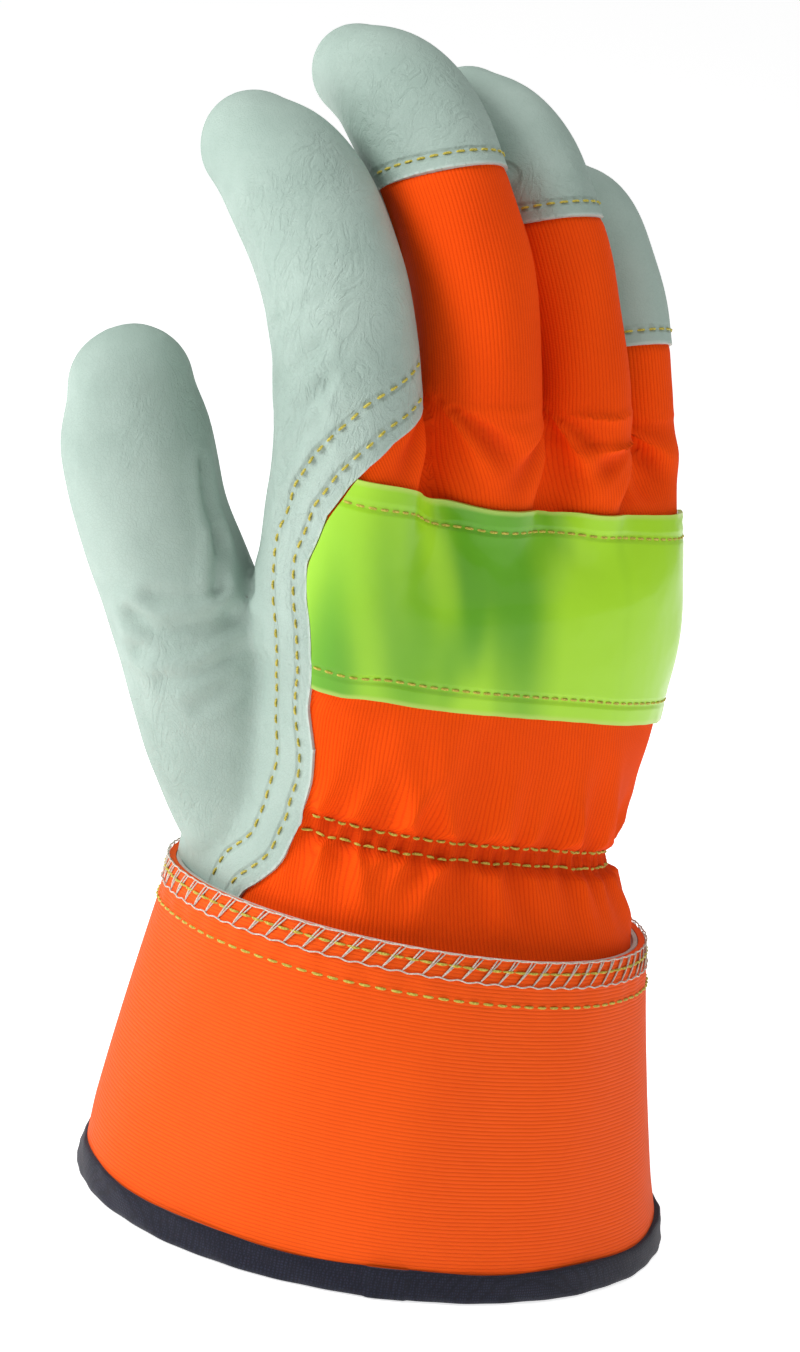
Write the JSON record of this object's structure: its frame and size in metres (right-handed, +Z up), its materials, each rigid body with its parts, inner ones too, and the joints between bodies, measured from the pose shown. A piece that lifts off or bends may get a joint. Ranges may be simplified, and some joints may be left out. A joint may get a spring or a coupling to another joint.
{
  "type": "work glove",
  "caption": "Right-hand rigger's work glove with leather palm and fingertips, ribbed cloth back, glossy knuckle strip, gathered wrist and flared safety cuff.",
  "frame": {"origin": "middle of the cuff's open end, on the plane of its hem", "axes": "+Z up, square to the level hem, with the hand leaning 6 degrees towards the thumb; +X towards the little finger, -Y the back of the hand, +Y the palm"},
  "size_m": [0.1417, 0.1077, 0.2247],
  "materials": {
    "leather": "soft grain leather, pale grey green",
    "hi_vis_cloth": "ribbed high-visibility cloth",
    "cuff_cloth": "stiff rubberised cloth",
    "lining": "brushed cotton lining",
    "binding": "woven bias tape, dark navy",
    "overlock_thread": "overlocked seam thread",
    "yellow_thread": "sewing thread",
    "elastic": "woven elastic",
    "reflective_vinyl": "glossy lime reflective vinyl"
  },
  "bodies": {
    "cuff": {"cuff_outer": "cuff_cloth", "cuff_lining": "lining", "hem_binding": "binding", "cuff_seam_overlock": "overlock_thread", "cuff_topstitching": "yellow_thread"},
    "hand": {"palm_leather": "leather", "back_fabric": "hi_vis_cloth", "thumb_base": "leather", "palm_lining": "lining", "wrist_elastic": "elastic", "reflective_strip": "reflective_vinyl", "wrist_shirring": "yellow_thread", "strip_stitching": "yellow_thread"},
    "index_finger": {"index_back_leather": "leather", "index_front_leather": "leather", "index_lining": "lining"},
    "thumb": {"thumb_back_leather": "leather", "thumb_front_leather": "leather", "thumb_lining": "lining"},
    "middle_finger": {"middle_front_leather": "leather", "middle_back_fabric": "hi_vis_cloth", "middle_tip_cap": "leather", "middle_lining": "lining", "middle_cap_stitching": "yellow_thread"},
    "ring_finger": {"ring_front_leather": "leather", "ring_back_fabric": "hi_vis_cloth", "ring_tip_cap": "leather", "ring_lining": "lining", "ring_cap_stitching": "yellow_thread"},
    "little_finger": {"little_front_leather": "leather", "little_back_fabric": "hi_vis_cloth", "little_tip_cap": "leather", "little_lining": "lining", "little_cap_stitching": "yellow_thread"}
  },
  "joints": [
    {"name": "wrist_flex", "type": "hinge", "parent": "cuff", "child": "hand", "pos_m": [-0.00559, 0, 0.06276], "axis": [-0.9945, 0, -0.1045], "range_deg": [-12, 12], "stiffness_Nm_per_rad": 0.6},
    {"name": "index_flex", "type": "hinge", "parent": "hand", "child": "index_finger", "pos_m": [-0.04358, -0.008, 0.1563], "axis": [-0.9945, 0, -0.1045], "range_deg": [-10, 50], "stiffness_Nm_per_rad": 0.15},
    {"name": "middle_flex", "type": "hinge", "parent": "hand", "child": "middle_finger", "pos_m": [-0.01913, -0.0123, 0.16289], "axis": [-0.9945, 0, -0.1045], "range_deg": [-10, 50], "stiffness_Nm_per_rad": 0.15},
    {"name": "ring_flex", "type": "hinge", "parent": "hand", "child": "ring_finger", "pos_m": [0.00366, -0.0118, 0.16227], "axis": [-0.9945, 0, -0.1045], "range_deg": [-10, 50], "stiffness_Nm_per_rad": 0.15},
    {"name": "little_flex", "type": "hinge", "parent": "hand", "child": "little_finger", "pos_m": [0.02498, -0.0013, 0.15647], "axis": [-0.9945, 0, -0.1045], "range_deg": [-10, 50], "stiffness_Nm_per_rad": 0.12},
    {"name": "thumb_flex", "type": "hinge", "parent": "hand", "child": "thumb", "pos_m": [-0.0532, 0.0165, 0.11205], "axis": [-0.9945, 0, -0.1045], "range_deg": [-5, 25], "stiffness_Nm_per_rad": 0.15}
  ]
}
